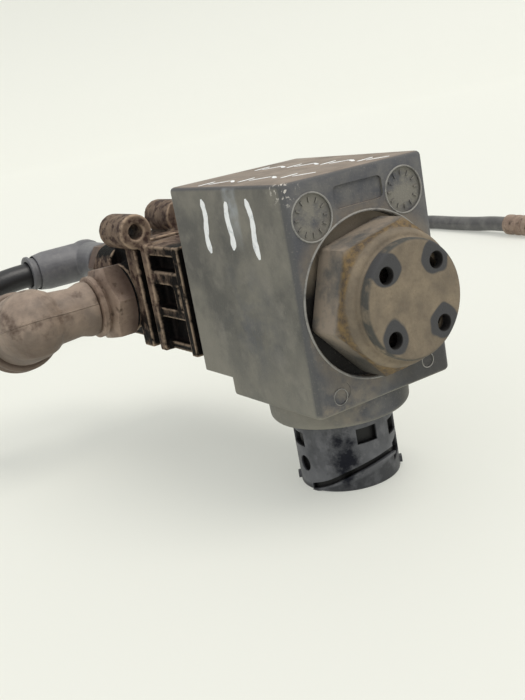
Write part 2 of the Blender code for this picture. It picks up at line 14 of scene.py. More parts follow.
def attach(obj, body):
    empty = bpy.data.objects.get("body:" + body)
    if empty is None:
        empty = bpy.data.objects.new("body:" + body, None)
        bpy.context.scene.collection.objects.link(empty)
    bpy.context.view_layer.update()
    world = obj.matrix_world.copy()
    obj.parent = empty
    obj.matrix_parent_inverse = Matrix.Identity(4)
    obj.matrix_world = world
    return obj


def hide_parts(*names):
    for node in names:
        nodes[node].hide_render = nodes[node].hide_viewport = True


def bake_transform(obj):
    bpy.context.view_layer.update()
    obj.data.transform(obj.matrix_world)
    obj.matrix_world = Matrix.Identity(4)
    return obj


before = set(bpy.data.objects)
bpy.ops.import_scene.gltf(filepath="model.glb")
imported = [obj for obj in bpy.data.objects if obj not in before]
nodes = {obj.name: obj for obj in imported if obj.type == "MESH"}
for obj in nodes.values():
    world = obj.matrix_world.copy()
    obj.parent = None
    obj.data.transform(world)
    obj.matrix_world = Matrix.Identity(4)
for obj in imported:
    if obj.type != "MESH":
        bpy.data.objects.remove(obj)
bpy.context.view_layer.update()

# ------------------------------------------------
# Camera. It stands to the left of the valve's front and a little above it, close enough for a
# strong perspective, and looks down at the cap.
eye = Vector((-0.13209, -0.27516, 0.04957))
to_the_right = Vector((0.82156, -0.54210, -0.17654))
upwards = Vector((0.28846, 0.12816, 0.94887))
camera_data = bpy.data.cameras.new("camera")
camera_data.lens = 48.857
camera = bpy.data.objects.new("camera", camera_data)
turn = Matrix((to_the_right, upwards, to_the_right.cross(upwards))).transposed()
camera.matrix_world = Matrix.Translation(eye) @ turn.to_4x4()
bpy.context.scene.collection.objects.link(camera)
bpy.context.scene.camera = camera

# ------------------------------------------------
# Hose. Extruded black nylon tube, 8 mm across and quite stiff. It leaves the small elbow to the
# left, comes down behind it, turns back over the ground and ends in a brass fitting on the right.
MM = 0.001
HOSE_RADIUS = 4.0 * MM
GROUND = -49.4  # millimetres: the connector's rim stands on it
HOSE_REST = GROUND + 4.0
HOSE_ROUTE = [
    (-17.8, 28, 5), (-33, 28, 5), (-45, 28.2, 4.2), (-58, 30, 0.5), (-71, 34, -6), (-84, 41, -14.5),
    (-96, 52, -24), (-104, 66, -33), (-107.5, 83, -40.3), (-106, 101, -44.4),
    *((x, y, HOSE_REST) for x, y in (
        (-98, 119), (-81, 134), (-60, 146), (-35, 156), (-6, 166), (26, 175), (62, 183), (100, 191),
        (138, 198), (174, 204), (206, 205), (232, 198), (249, 181), (256.5, 158), (255.4, 136),
    )),
    (253.2, 116, -44.9), (251.6, 102, -44.1), (250.2, 90, -44), (249, 79, -44),
]


def linear(colour):
    """The linear colour of an sRGB hex value."""
    parts = [int(colour[i:i + 2], 16) / 255 for i in (1, 3, 5)]
    return [c / 12.92 if c <= 0.04045 else ((c + 0.055) / 1.055) ** 2.4 for c in parts] + [1.0]


def add(tree, kind, inputs, **settings):
    """Adds a node. inputs maps a socket's name or number to a value or to another node's output."""
    node = tree.nodes.new(kind)
    for name, value in settings.items():
        setattr(node, name, value)
    for key, value in inputs.items():
        if isinstance(value, bpy.types.NodeSocket):
            tree.links.new(value, node.inputs[key])
        else:
            node.inputs[key].default_value = value
    return node


def start_material(name, roughness, metallic=0.0):
    """A new material: itself, its tree, its shader, and the place of a point on the object."""
    material = bpy.data.materials.new(name)
    material.use_nodes = True
    tree = material.node_tree
    shader = tree.nodes["Principled BSDF"]
    shader.inputs["Roughness"].default_value = roughness
    shader.inputs["Metallic"].default_value = metallic
    place = add(tree, "ShaderNodeTexCoord", {}).outputs["Object"]
    return material, tree, shader, place


def patches(tree, place, size, bare, full, detail=5.0):
    """A soft mask in patches this many millimetres wide: 0 where the noise is under bare, 1 over full."""
    cloud = add(
        tree, "ShaderNodeTexNoise",
        {"Vector": place, "Scale": 1 / (size * MM), "Detail": detail, "Roughness": 0.62},
    )
    return ramp(tree, cloud.outputs[0], bare, full, 1)


def tint(tree, mask, below, above):
    """The colour below where the mask is 0, and the one above where it is 1."""
    colours = [linear(c) if isinstance(c, str) else c for c in (below, above)]
    mix = add(tree, "ShaderNodeMix", {0: mask, 6: colours[0], 7: colours[1]}, data_type="RGBA")
    return mix.outputs[2]


def times(tree, product, *factors):
    """The product of these masks and numbers."""
    for factor in factors:
        product = add(tree, "ShaderNodeMath", {0: product, 1: factor}, operation="MULTIPLY").outputs[0]
    return product


def ramp(tree, value, start, end, unit=MM):
    """0 where the value is at start, 1 where it is at end, even in between."""
    return add(tree, "ShaderNodeMapRange", {0: value, 1: start * unit, 2: end * unit}).outputs[0]


def near(tree, place, point, edge, core):
    """1 within core of this point in millimetres, 0 further away than edge, even in between."""
    point = tuple(Vector(point) * MM)
    away = add(tree, "ShaderNodeVectorMath", {0: place, 1: point}, operation="DISTANCE")
    return ramp(tree, away.outputs["Value"], edge, core)


def coat(tree, shader, colour, height, depth):
    """Gives the surface this colour and raises it by up to depth millimetres where height is 1."""
    tree.links.new(colour, shader.inputs["Base Color"])
    bump = add(tree, "ShaderNodeBump", {"Strength": 1.0, "Distance": depth * MM, "Height": height})
    tree.links.new(bump.outputs["Normal"], shader.inputs["Normal"])


def nylon_tube():
    """Extruded nylon: even, smooth and slightly glossy, dusty on the right and darker to the left."""
    material, tree, shader, place = start_material("extruded_black_nylon", 0.36)
    dust = patches(tree, place, 9, 0.45, 0.75)
    colour = tint(tree, dust, "#4c4b4b", "#706e6c")
    across = add(tree, "ShaderNodeSeparateXYZ", {0: place}).outputs[0]
    colour = tint(tree, ramp(tree, across, 150, 40), colour, "#232324")
    coat(tree, shader, colour, patches(tree, place, 0.9, 0.35, 0.7), 0.02)
    return material


def placed(name, data):
    """A new object with this data, in the scene."""
    obj = bpy.data.objects.new(name, data)
    bpy.context.scene.collection.objects.link(obj)
    return obj


def curve_through(points, per_span=8):
    """Points on a smooth curve through the given ones."""
    ends = [points[0] * 2 - points[1], *points, points[-1] * 2 - points[-2]]
    found = []
    for a, b, c, d in zip(ends, ends[1:], ends[2:], ends[3:]):
        for i in range(per_span):
            t = i / per_span
            rise = (2 * a - 5 * b + 4 * c - d) * t**2 + (3 * b - a - 3 * c + d) * t**3
            found.append(0.5 * (2 * b + (c - a) * t + rise))
    return found + [points[-1]]


hose_line = curve_through([Vector(p) * MM for p in HOSE_ROUTE])
hose_curve = bpy.data.curves.new("air_hose", "CURVE")
hose_curve.dimensions = "3D"
hose_curve.bevel_depth = HOSE_RADIUS
hose_curve.bevel_resolution = 8
hose_curve.use_fill_caps = True
spline = hose_curve.splines.new("POLY")
spline.points.add(len(hose_line) - 1)
for point, spot in zip(spline.points, hose_line, strict=True):
    point.co = (*spot, 1)
hose_curve.materials.append(nylon_tube())
air_hose = placed("air_hose", hose_curve)
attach(air_hose, "valve")
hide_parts("hose")

# ------------------------------------------------
# Hose end. A crimped brass ferrule grips the hose over a stud that goes into the next port. Both
# are turned, and dull tan with road dust.


def dusty_brass():
    """Turned brass under dust: the metal shows only as a warm sheen through the tan film."""
    material, tree, shader, place = start_material("dusty_turned_brass", 0.55, 0.35)
    film = patches(tree, place, 5, 0.35, 0.65)
    colour = tint(tree, film, "#806c5e", "#a08c7c")
    across = add(tree, "ShaderNodeSeparateXYZ", {0: place}).outputs[0]
    oily = times(tree, ramp(tree, across, -26, -22.5), ramp(tree, across, 0, -10), 0.7)
    colour = tint(tree, oily, colour, "#4c3c35")
    colour = tint(tree, patches(tree, place, 3, 0.56, 0.74), colour, "#4a3a2e")
    coat(tree, shader, colour, patches(tree, place, 0.5, 0.3, 0.8), 0.04)
    return material


def rounded(outline, radius, steps=3, loop=False):
    """The outline with each corner that is off the axis turned into a small arc."""
    count = len(outline)
    found = []
    for i, corner in enumerate(outline):
        if not loop and i in (0, count - 1) or corner[0] == 0:
            found.append(corner)
            continue
        here = Vector(corner)
        before = Vector(outline[i - 1]) - here
        after = Vector(outline[(i + 1) % count]) - here
        reach = min(radius, before.length * 0.45, after.length * 0.45)
        start, end = here + before.normalized() * reach, here + after.normalized() * reach
        for k in range(steps + 1):
            t = k / steps
            found.append(tuple(start * (1 - t) ** 2 + here * 2 * t * (1 - t) + end * t**2))
    return found


def turned(name, outline, place, material, steps=96, loop=False, hexagon=None):
    """A turned piece from an outline of (radius, height) in millimetres, about the place's own z axis.

    hexagon is (corner radius, turn, lowest, highest): between those heights no point is outside it.
    """
    bm = bmesh.new()
    rings = []
    for radius, height in outline:
        if radius == 0:
            rings.append([bm.verts.new((0, 0, height * MM))])
            continue
        ring = []
        for i in range(steps):
            angle = 2 * math.pi * i / steps
            reach = radius
            if hexagon and hexagon[2] <= height <= hexagon[3]:
                off_middle = math.radians((math.degrees(angle - hexagon[1]) % 60) - 30)
                reach = min(radius, hexagon[0] * math.cos(math.radians(30)) / math.cos(off_middle))
            spot = (reach * math.cos(angle) * MM, reach * math.sin(angle) * MM, height * MM)
            ring.append(bm.verts.new(spot))
        rings.append(ring)
    pairs = list(zip(rings, rings[1:])) + ([(rings[-1], rings[0])] if loop else [])
    for upper, lower in pairs:
        for i in range(steps):
            corners = [upper[i % len(upper)], upper[(i + 1) % len(upper)]]
            corners += [lower[(i + 1) % len(lower)], lower[i % len(lower)]]
            bm.faces.new(list(dict.fromkeys(corners)))
    bmesh.ops.transform(bm, matrix=place, verts=bm.verts)
    bmesh.ops.recalc_face_normals(bm, faces=bm.faces)
    return as_object(name, bm, material)


def as_object(name, bm, material, sharp=38):
    """An object at the origin with this mesh, smooth except at edges sharper than the angle."""
    mesh = bpy.data.meshes.new(name)
    bm.to_mesh(mesh)
    bm.free()
    mesh.materials.append(material)
    mesh.shade_smooth()
    mesh.set_sharp_from_angle(angle=math.radians(sharp))
    return placed(name, mesh)


def plain_mesh(obj, sharp=38):
    """Makes the modifiers' result the object's own mesh."""
    bpy.context.view_layer.update()
    mesh = bpy.data.meshes.new_from_object(obj.evaluated_get(bpy.context.evaluated_depsgraph_get()))
    obj.modifiers.clear()
    obj.data = mesh
    mesh.shade_smooth()
    mesh.set_sharp_from_angle(angle=math.radians(sharp))
    return obj


def along(direction, point):
    """The place whose own z axis runs in this direction from this point in millimetres."""
    heading = Vector(direction).to_track_quat("Z", "Y").to_matrix().to_4x4()
    return Matrix.Translation(Vector(point) * MM) @ heading


def fit(obj, body, slot, *stands_for):
    """Fixes a finished piece to its body, in place of the CAD nodes that it stands for."""
    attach(obj, body)
    if stands_for:
        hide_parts(*stands_for)


FERRULE_RADIUS = 5.4
hose_tip = hose_line[-1] / MM
hose_heading = Vector((hose_line[-1] - hose_line[-9]).to_2d().to_3d())
brass_end = dusty_brass()
ferrule = [(FERRULE_RADIUS, 5), (FERRULE_RADIUS, 3), (5.0, 2.4), (5.0, 0.4), (FERRULE_RADIUS, -0.2)]
ferrule += [(FERRULE_RADIUS, -2.4), (5.0, -3.0), (5.0, -5.0), (FERRULE_RADIUS, -5.6), (FERRULE_RADIUS, -9)]
ferrule += [(4.3, -9), (4.3, 0.3), (2.0, 0.3), (2.0, 5)]
hose_ferrule = turned(
    "hose_ferrule", rounded(ferrule, 0.4, loop=True), along(hose_heading, hose_tip), brass_end, 64, True
)
stud = [(3.6, 17.3), (4.4, 16.5)]
for thread in range(7):
    stud += [(4.4, 16.0 - thread * 0.8), (4.05, 15.6 - thread * 0.8)]
stud += [(4.4, 10.3), (FERRULE_RADIUS, 10.3), (FERRULE_RADIUS, 5.3), (2.0, 5.3), (2.0, 17.3)]
hose_stud = turned(
    "hose_stud", rounded(stud, 0.15, 2, True), along(hose_heading, hose_tip), brass_end, 64, True
)
fit(hose_ferrule, "valve", "dusty_brass", "hose_end_ferrule")
fit(hose_stud, "valve", "dusty_brass", "hose_end_stud")

# ------------------------------------------------
# Coil housing. Glass-filled nylon moulded round the coil in one shot: a box with rounded edges, a
# round recess for the cap and a collar for the connector. Its front face has two round date marks
# and a small name plate, all left blank here, and two ejector marks low down.
BOX_LEFT, BOX_FRONT, BOX_TOP = -20.5, -106, 29.5
BOX_LOW, BOX_HIGH = (BOX_LEFT, BOX_FRONT, -24.5), (-BOX_LEFT, -55, BOX_TOP)
STEP_LOW, STEP_HIGH = (-22, -69.5, -34), (22, -54, -19.5)
POCKET_LOW, POCKET_HIGH = (-17.4, -100.6, -17.4), (17.4, -54, 21)
DATE_MARKS = ((-13.5, 21.0), (13.1, 21.7))
DATE_RADIUS = 5.4
EJECTOR_MARKS = ((-13.7, -20.6, 1.9), (13.3, -20.0, 1.8), (-13.0, -19.6, 2.3))
CONNECTOR_Y = -85.5
coil_axis = along((0, 1, 0), (0, 0, 0))
connector_axis = Matrix.Translation((0, CONNECTOR_Y * MM, 0))


def moulded_nylon(rubbed=0.0):
    """Glass-filled nylon, moulded and matte: olive-grey where dust lies in it, slate where it is bare."""
    material, tree, shader, place = start_material("moulded_glass_filled_nylon", 0.74)
    spot = add(tree, "ShaderNodeSeparateXYZ", {0: place}).outputs
    normal = add(tree, "ShaderNodeTexCoord", {}).outputs["Normal"]
    facing = add(tree, "ShaderNodeSeparateXYZ", {0: normal}).outputs
    left = ramp(tree, facing[0], -0.6, -0.95, 1)
    front = ramp(tree, facing[1], -0.6, -0.95, 1)
    top = ramp(tree, facing[2], 0.6, 0.95, 1)

    # Every side: dust in clouds, thicker low down, and one bare slate patch on the left.
    cloud = patches(tree, place, 17, 0.38, 0.62)
    colour = tint(tree, cloud, "#565550", "#7b786e")
    colour = tint(tree, times(tree, patches(tree, place, 6, 0.50, 0.72), 0.6), colour, "#858177")
    colour = tint(tree, times(tree, ramp(tree, spot[2], -4, -24), 0.35), colour, "#8c897e")
    bare = near(tree, place, (BOX_LEFT, -84, -3), 17, 4)
    bare = times(tree, bare, patches(tree, place, 9, 0.42, 0.60), 0.7)
    colour = tint(tree, bare, colour, "#54565a")

    # The front: slate, with painted shade at the lower right and on the recess floor below the middle,
    # with dust round the recess, in the date marks and at the lower left.
    level = add(tree, "ShaderNodeCombineXYZ", {0: spot[0], 1: spot[2]}).outputs[0]
    reach = add(tree, "ShaderNodeVectorMath", {0: level}, operation="LENGTH").outputs["Value"]
    slate = tint(tree, patches(tree, place, 5, 0.40, 0.65), "#505155", "#666563")
    halo = ramp(tree, reach, 23.5, 19)
    halo = times(tree, halo, patches(tree, place, 3, 0.30, 0.58), 0.8)
    slate = tint(tree, halo, slate, "#7e7364")
    for x, z in DATE_MARKS:
        inside = near(tree, level, (x, z, 0), DATE_RADIUS + 0.1, DATE_RADIUS - 0.2)
        inside = times(tree, inside, patches(tree, place, 4, 0.32, 0.55))
        slate = tint(tree, inside, slate, "#7a776e")
    low_left = times(tree, ramp(tree, spot[2], -15, -21), ramp(tree, spot[0], 0, -6))
    low_left = times(tree, low_left, patches(tree, place, 6, 0.42, 0.60))
    slate = tint(tree, low_left, slate, "#7e776c")
    # Painted shade: the front's lower right is darkened.
    painted_shade = times(tree, ramp(tree, spot[2], -14, -19), ramp(tree, spot[0], 0, 8), 0.8)
    slate = tint(tree, painted_shade, slate, "#3b3a38")
    # The recess floor: painted shade, near black, below the middle, and tan with dust higher up.
    sunk = ramp(tree, spot[1], BOX_FRONT + 0.3, BOX_FRONT + 1.2)
    sunk = times(tree, sunk, ramp(tree, reach, 19.7, 19.2))
    recess_dust_and_shade = tint(tree, ramp(tree, spot[2], 3, 9), "#161310", "#8d8170")
    slate = tint(tree, sunk, slate, recess_dust_and_shade)
    colour = tint(tree, front, colour, slate)

    # The top is browner with dust and painted lighter, as light from above makes it, and the box's
    # rounded edges are worn to slate.
    top_dust_and_light = tint(tree, patches(tree, place, 7, 0.34, 0.66), "#766b60", "#928578")
    colour = tint(tree, top, colour, top_dust_and_light)
    fold = add(tree, "ShaderNodeVectorMath", {0: normal}, operation="ABSOLUTE").outputs[0]
    fold = add(tree, "ShaderNodeSeparateXYZ", {0: fold}).outputs
    flat = add(tree, "ShaderNodeMath", {0: fold[0], 1: fold[1]}, operation="MAXIMUM").outputs[0]
    flat = add(tree, "ShaderNodeMath", {0: flat, 1: fold[2]}, operation="MAXIMUM").outputs[0]
    worn = times(tree, ramp(tree, flat, 0.99, 0.88, 1), ramp(tree, spot[2], -24.0, -23.0), 0.8)
    colour = tint(tree, worn, colour, "#4d4e50")

    # The left side: a pale smear of paint, dust along the rear edge and chips at the front corner.
    smear = add(tree, "ShaderNodeMath", {0: spot[1], 1: 84.2 * MM}, operation="ADD").outputs[0]
    smear = add(tree, "ShaderNodeMath", {0: smear}, operation="ABSOLUTE").outputs[0]
    smear = times(tree, ramp(tree, smear, 3.4, 2.2), ramp(tree, spot[2], 14, 22))
    smear = times(tree, smear, left, patches(tree, place, 5, 0.30, 0.75))
    colour = tint(tree, smear, colour, "#a3a8ab")
    rear_edge = times(tree, ramp(tree, spot[1], -56.5, -53.5), left, 0.55)
    rear_edge = times(tree, rear_edge, patches(tree, place, 4, 0.30, 0.55))
    colour = tint(tree, rear_edge, colour, "#a39a8b")
    chips = near(tree, place, (BOX_LEFT, BOX_FRONT + 0.5, BOX_TOP - 0.5), 6, 1)
    chips = times(tree, chips, patches(tree, place, 0.9, 0.60, 0.66, 2.0))
    colour = tint(tree, chips, colour, "#cfcac0")
    specks = times(tree, patches(tree, place, 0.5, 0.60, 0.75, 2.0), 0.16)
    colour = tint(tree, specks, colour, "#b3ac9d")
    if rubbed:
        polish = times(tree, patches(tree, place, 3, 0.25, 0.5), rubbed)
        colour = tint(tree, polish, colour, "#9b9993")
    gloss = add(tree, "ShaderNodeMapRange", {0: cloud, 3: 0.60, 4: 0.80})
    tree.links.new(gloss.outputs[0], shader.inputs["Roughness"])
    coat(tree, shader, colour, patches(tree, place, 0.5, 0.25, 0.8), 0.05)
    return material


def box_mesh(low, high):
    bm = bmesh.new()
    bmesh.ops.create_cube(bm, size=1)
    size = Vector(high) - Vector(low)
    middle = (Vector(high) + Vector(low)) / 2
    bmesh.ops.scale(bm, vec=size * MM, verts=bm.verts)
    bmesh.ops.translate(bm, vec=middle * MM, verts=bm.verts)
    return bm


def shaped(obj, operation, tools):
    """Joins these shapes to the piece or cuts them from it, and then removes them."""
    for tool in tools:
        modifier = obj.modifiers.new(tool.name, "BOOLEAN")
        modifier.operation = operation
        modifier.solver = "EXACT"
        modifier.object = tool
    plain_mesh(obj)
    for tool in tools:
        bpy.data.objects.remove(tool, do_unlink=True)


housing_plastic = moulded_nylon()
bm = box_mesh(BOX_LOW, BOX_HIGH)
upright = [
    e for e in bm.edges
    if abs(e.verts[0].co.z - e.verts[1].co.z) > 40 * MM and e.verts[0].co.y < -100 * MM
]
bmesh.ops.bevel(bm, geom=upright, offset=1.9 * MM, segments=4, profile=0.5, affect="EDGES")
others = [e for e in bm.edges if e.is_manifold and e.calc_face_angle() > 1.0]
bmesh.ops.bevel(bm, geom=others, offset=1.1 * MM, segments=3, profile=0.5, affect="EDGES")
coil_box = as_object("coil_box", bm, housing_plastic)
collar = [(0, -21), (18, -21), (18, -24.6), (17.8, -30.0), (17.0, -31.0), (0, -31.0)]
shaped(coil_box, "DIFFERENCE", [as_object("step", box_mesh(STEP_LOW, STEP_HIGH), housing_plastic)])
shaped(coil_box, "UNION", [turned("collar", rounded(collar, 0.8), connector_axis, housing_plastic, 128)])
cutters = [
    as_object("pocket", box_mesh(POCKET_LOW, POCKET_HIGH), housing_plastic),
    turned("recess", [(0, -103), (19.1, -103), (19.1, -108), (0, -108)], coil_axis, housing_plastic, 160),
    turned("front_hole", [(0, -99), (8.6, -99), (8.6, -104), (0, -104)], coil_axis, housing_plastic, 64),
    turned("throat", [(0, -16), (9, -16), (9, -33), (0, -33)], connector_axis, housing_plastic, 64),
]
sinks = [("date_mark", x, z, DATE_RADIUS, 0.45, 72) for x, z in DATE_MARKS]
sinks += [("ejector_mark", x, z, radius, 0.15, 40) for x, z, radius in EJECTOR_MARKS]
for name, x, z, radius, depth, steps in sinks:
    sunk = [(0, depth), (radius, depth), (radius, -1), (0, -1)]
    place = along((0, 1, 0), (x, BOX_FRONT, z))
    cutters.append(turned(name, sunk, place, housing_plastic, steps))
bm = box_mesh((-7, -107, 21.2), (7, -105.45, 26.4))
corners = [e for e in bm.edges if abs(e.verts[0].co.y - e.verts[1].co.y) > 1 * MM]
bmesh.ops.bevel(bm, geom=corners, offset=1.3 * MM, segments=5, profile=0.5, affect="EDGES")
cutters.append(as_object("plate_sink", bm, housing_plastic))
shaped(coil_box, "DIFFERENCE", cutters)
fit(coil_box, "valve", "housing_plastic", "coil_housing")

# The thin raised lips: round the recess, round both date marks and round two of the ejector marks.
lips = []
for x, z, radius, wire in (
    (*DATE_MARKS[0], DATE_RADIUS, 0.20), (*DATE_MARKS[1], DATE_RADIUS, 0.20),
    (0, 0, 19.45, 0.26), (*EJECTOR_MARKS[0][:2], 1.9, 0.13), (*EJECTOR_MARKS[1][:2], 1.8, 0.13),
):
    bead = [
        (radius + wire * math.cos(math.radians(a)), 1.2 * wire * math.sin(math.radians(a)))
        for a in range(0, 360, 45)
    ]
    lips.append(turned("lip", bead, along((0, 1, 0), (x, BOX_FRONT, z)), housing_plastic, 96, True))
bm = bmesh.new()
for lip in lips:
    bm.from_mesh(lip.data)
    bpy.data.objects.remove(lip, do_unlink=True)
fit(as_object("moulded_lips", bm, moulded_nylon(0.8)), "valve", "housing_plastic")


def date_ticks():
    """A tree of nodes that sets short bars round a circle, as on a mould's date mark."""
    tree = bpy.data.node_groups.new("date_ticks", "GeometryNodeTree")
    face = tree.interface
    for name, kind in (
        ("Count", "NodeSocketInt"), ("Radius", "NodeSocketFloat"), ("Bar", "NodeSocketVector"),
        ("Centre", "NodeSocketVector"), ("Finish", "NodeSocketMaterial"),
    ):
        face.new_socket(name, in_out="INPUT", socket_type=kind)
    face.new_socket("Mesh", in_out="OUTPUT", socket_type="NodeSocketGeometry")
    given = add(tree, "NodeGroupInput", {}).outputs
    circle = add(tree, "GeometryNodeMeshCircle", {"Vertices": given["Count"], "Radius": given["Radius"]})
    bar = add(tree, "GeometryNodeMeshCube", {"Size": given["Bar"]})
    spot = add(tree, "GeometryNodeInputPosition", {})
    heading = add(
        tree, "FunctionNodeAlignRotationToVector", {"Vector": spot.outputs[0]}, axis="X", pivot_axis="Z"
    )
    bars = add(
        tree, "GeometryNodeInstanceOnPoints",
        {"Points": circle.outputs[0], "Instance": bar.outputs[0], "Rotation": heading.outputs[0]},
    )
    stood = add(
        tree, "GeometryNodeTransform",
        {"Geometry": bars.outputs[0], "Translation": given["Centre"], "Rotation": (math.pi / 2, 0, 0)},
    )
    real = add(tree, "GeometryNodeRealizeInstances", {0: stood.outputs[0]})
    painted = add(tree, "GeometryNodeSetMaterial", {0: real.outputs[0], "Material": given["Finish"]})
    add(tree, "NodeGroupOutput", {0: painted.outputs[0]})
    return tree


def grown(name, tree, values):
    """The plain mesh object that a tree of geometry nodes makes from these named values."""
    obj = placed(name, bpy.data.meshes.new(name))
    modifier = obj.modifiers.new(name, "NODES")
    modifier.node_group = tree
    for item in tree.interface.items_tree:
        if item.name in values:
            modifier[item.identifier] = values[item.name]
    return plain_mesh(obj)


for i, (x, z) in enumerate(DATE_MARKS):
    ticks = grown(
        f"date_ticks_{i}", date_ticks(),
        {
            "Count": 12, "Radius": 3.9 * MM, "Bar": (1.1 * MM, 0.35 * MM, 0.5 * MM),
            "Centre": (x * MM, (BOX_FRONT + 0.4) * MM, z * MM), "Finish": housing_plastic,
        },
    )
    fit(ticks, "valve", "housing_plastic")

# ------------------------------------------------
# Paint marks. A store's white paint pen, thick and slightly raised. The marks are plain dabs.
SIDE_DABS = (
    ((-70.9, 26.6), (-71.6, 22.5), (-70.4, 17.0), (-71.2, 13.2)),
    ((-82.4, 26.0), (-81.8, 22.0), (-82.6, 17.5), (-82.2, 14.4)),
    ((-91.2, 26.6), (-92.6, 22.0), (-92.2, 16.5), (-93.0, 12.6)),
)
TOP_ROWS = (((-16.2, -67.5), (-7.8, -97.5), 8), ((3.8, -62.5), (10.6, -101.5), 11))


def paint():
    """Paint-pen lacquer: opaque white with a soft gloss, thinner at its edges."""
    material, tree, shader, place = start_material("white_paint", 0.42)
    thin = patches(tree, place, 1.4, 0.52, 0.78)
    colour = tint(tree, thin, "#f4f6f6", "#c3c9cc")
    coat(tree, shader, colour, patches(tree, place, 0.7, 0.3, 0.8), 0.05)
    return material


def dab(bm, line, width, thickness, to_world):
    """A flat stroke of paint along a line of (across, up) points, with uneven edges and round ends."""
    spots = curve_through([Vector((*p, 0)) for p in line], 8)
    rows = []
    for i, spot in enumerate(spots):
        heading = (spots[min(i + 1, len(spots) - 1)] - spots[max(i - 1, 0)]).normalized()
        side = Vector((-heading.y, heading.x, 0))
        end = min(i, len(spots) - 1 - i) / 2
        half = width / 2 * min(1, 0.35 + 0.5 * end) * (1 + 0.35 * noise.noise(spot * 0.6))
        rows.append([
            bm.verts.new(to_world(spot + side * half * across, lift * thickness))
            for across, lift in ((-1, -1), (-1, 0.3), (-0.5, 1), (0.5, 1), (1, 0.3), (1, -1))
        ])
    for a, b in zip(rows, rows[1:]):
        for i in range(6):
            bm.faces.new([a[i], a[(i + 1) % 6], b[(i + 1) % 6], b[i]])
    bm.faces.new(rows[0])
    bm.faces.new(rows[-1])


bm = bmesh.new()
for line in SIDE_DABS:
    dab(bm, line, 2.0, 0.10, lambda p, lift: Vector((BOX_LEFT - lift, p.x, p.y)) * MM)
for start, end, count in TOP_ROWS:
    for i in range(count):
        middle = Vector(start).lerp(Vector(end), i / (count - 1))
        slant = Vector(((2.7, 0.5), (2.1, -1.7), (1.2, 2.1))[i % 3])
        line = (middle - slant, middle + slant * 0.2, middle + slant)
        dab(bm, line, 1.0, 0.07, lambda p, lift: Vector((p.x, p.y, BOX_TOP + lift)) * MM)
bmesh.ops.recalc_face_normals(bm, faces=bm.faces)
fit(as_object("paint_dabs", bm, paint()), "valve", "housing_plastic")

# ------------------------------------------------
# Exhaust nut and cap. One plastic moulding: a hexagon with a chamfered front, a domed band and a
# round cap with four vent holes. Road dust has settled on it, and air keeps the vents' rims clean.
CAP_FACE = -120.5
VENT_AWAY = 7.2
VENT_RADIUS = 1.9


def dusty_cap_plastic():
    """Grey moulded plastic under tan dust, ochre in the chamfer, bare where the air blows; painted shade low
    down and in the vents.
    """
    material, tree, shader, place = start_material("dusty_moulded_plastic", 0.80)
    spot = add(tree, "ShaderNodeSeparateXYZ", {0: place}).outputs
    level = add(tree, "ShaderNodeCombineXYZ", {0: spot[0], 1: spot[2]}).outputs[0]
    reach = add(tree, "ShaderNodeVectorMath", {0: level}, operation="LENGTH").outputs["Value"]
    cloud = patches(tree, place, 6, 0.35, 0.68)
    uneven = patches(tree, place, 3, 0.2, 0.8)
    drift = add(tree, "ShaderNodeMapRange", {0: uneven, 3: -0.5 * MM, 4: 0.5 * MM}).outputs[0]
    depth = add(tree, "ShaderNodeMath", {0: spot[1], 1: drift}, operation="ADD").outputs[0]
    dust = tint(tree, cloud, "#685e50", "#857864")
    grit = times(tree, patches(tree, place, 0.9, 0.50, 0.68, 3.0), 0.35)
    dust = tint(tree, grit, dust, "#6a5c4c")
    ochre = tint(tree, patches(tree, place, 1.4, 0.40, 0.62), "#4f4335", "#77623f")
    colour = tint(tree, ramp(tree, depth, -116.0, -115.0), dust, ochre)
    film = tint(tree, patches(tree, place, 8, 0.36, 0.56), "#5a5854", "#8b7f70")
    # Painted shade: the hexagon's sides are darker towards the bottom.
    film = tint(tree, times(tree, ramp(tree, spot[2], -5, -12), 0.85), film, "#38352f")
    colour = tint(tree, ramp(tree, depth, -114.0, -112.8), colour, film)
    ahead = ramp(tree, spot[1], -117.7, -118.3)
    rim = times(tree, ramp(tree, reach, 12.9, 13.3), ahead)
    colour = tint(tree, times(tree, rim, patches(tree, place, 4, 0.34, 0.52)), colour, "#45443f")

    # The bare ground round each vent lies a little above the vent's middle, and its edge wanders.
    middle = (VENT_AWAY * MM, VENT_AWAY * MM, 0)
    raised = add(
        tree, "ShaderNodeVectorMath", {0: level, 1: (0, 0.9 * MM, 0)}, operation="SUBTRACT"
    ).outputs[0]
    raised = add(tree, "ShaderNodeVectorMath", {0: raised}, operation="ABSOLUTE").outputs[0]
    blown = add(
        tree, "ShaderNodeVectorMath", {0: raised, 1: middle}, operation="DISTANCE"
    ).outputs["Value"]
    wander = add(
        tree, "ShaderNodeMath",
        {0: patches(tree, place, 6, 0.30, 0.70, 1.0), 1: 1.6 * MM, 2: blown},
        operation="MULTIPLY_ADD",
    )
    bare = times(tree, ramp(tree, wander.outputs[0], 5.0, 4.5), ahead)
    colour = tint(tree, bare, colour, "#3f3f40")
    # Painted shade: the vent holes' walls are near black.
    folded = add(tree, "ShaderNodeVectorMath", {0: level}, operation="ABSOLUTE").outputs[0]
    vent = near(tree, folded, (VENT_AWAY, VENT_AWAY, 0), 2.1, 1.9)
    colour = tint(tree, times(tree, vent, ahead), colour, "#161412")
    coat(tree, shader, colour, patches(tree, place, 0.6, 0.25, 0.8), 0.07)
    return material


